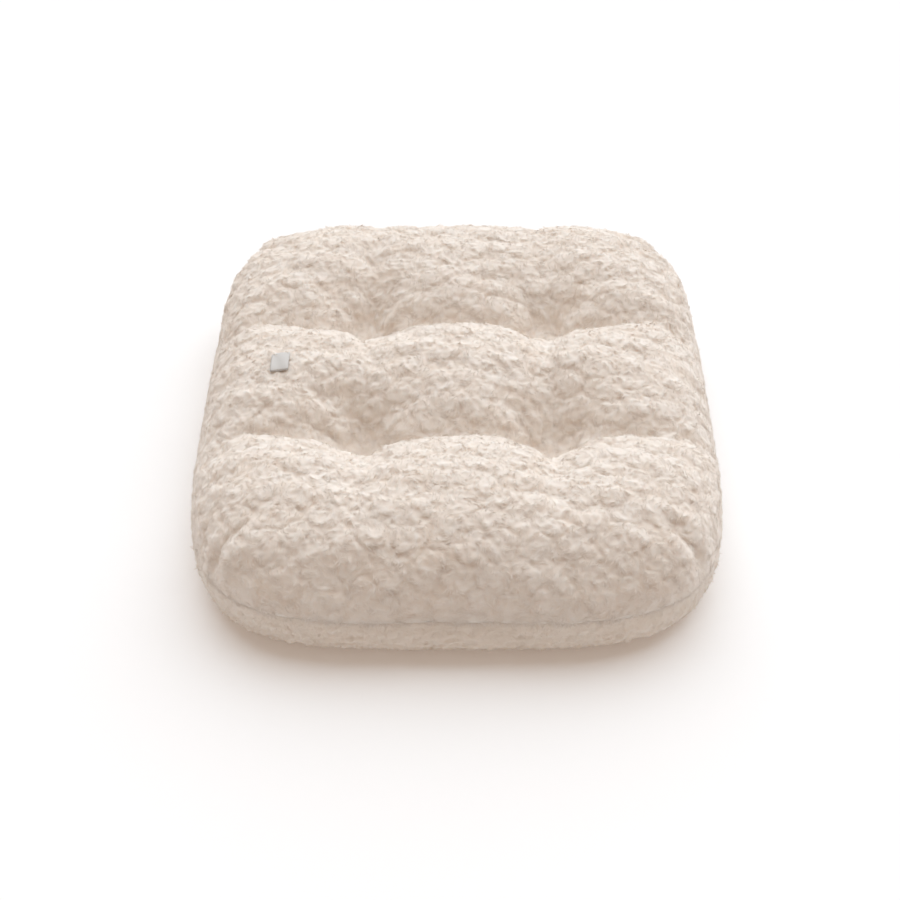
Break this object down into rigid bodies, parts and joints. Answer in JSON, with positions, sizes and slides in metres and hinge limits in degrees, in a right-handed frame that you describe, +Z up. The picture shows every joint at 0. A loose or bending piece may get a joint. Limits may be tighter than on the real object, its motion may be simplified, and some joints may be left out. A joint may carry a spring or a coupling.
{
  "type": "pet cushion bed",
  "caption": "Thick rectangular floor cushion for a pet, round-cornered plush top pulled into pits by thread ties, smooth fleece underside, fibre filling.",
  "frame": {"origin": "middle of the face that rests on the floor", "axes": "+X to the right and +Y to the back seen from the front, +Z up; the front faces -Y"},
  "size_m": [0.45, 0.55, 0.115],
  "materials": {
    "plush": "long curled pile, matt",
    "fleece": "short pile, matt",
    "fibre": "loose white staple fibre",
    "thread": "twisted polyester thread",
    "label": "woven satin tape, blank"
  },
  "bodies": {
    "root": {"plush_top_panel": "plush", "fleece_base_panel": "fleece", "fibre_fill": "fibre", "side_seam_thread": "thread", "closing_thread": "thread", "tuft_tie_front_left": "thread", "tuft_tie_front_right": "thread", "tuft_tie_rear_left": "thread", "tuft_tie_rear_right": "thread", "dart_thread_front_left": "thread", "dart_thread_front_right": "thread", "dart_thread_rear_left": "thread", "dart_thread_rear_right": "thread", "woven_label": "label", "label_thread": "thread"}
  },
  "joints": []
}
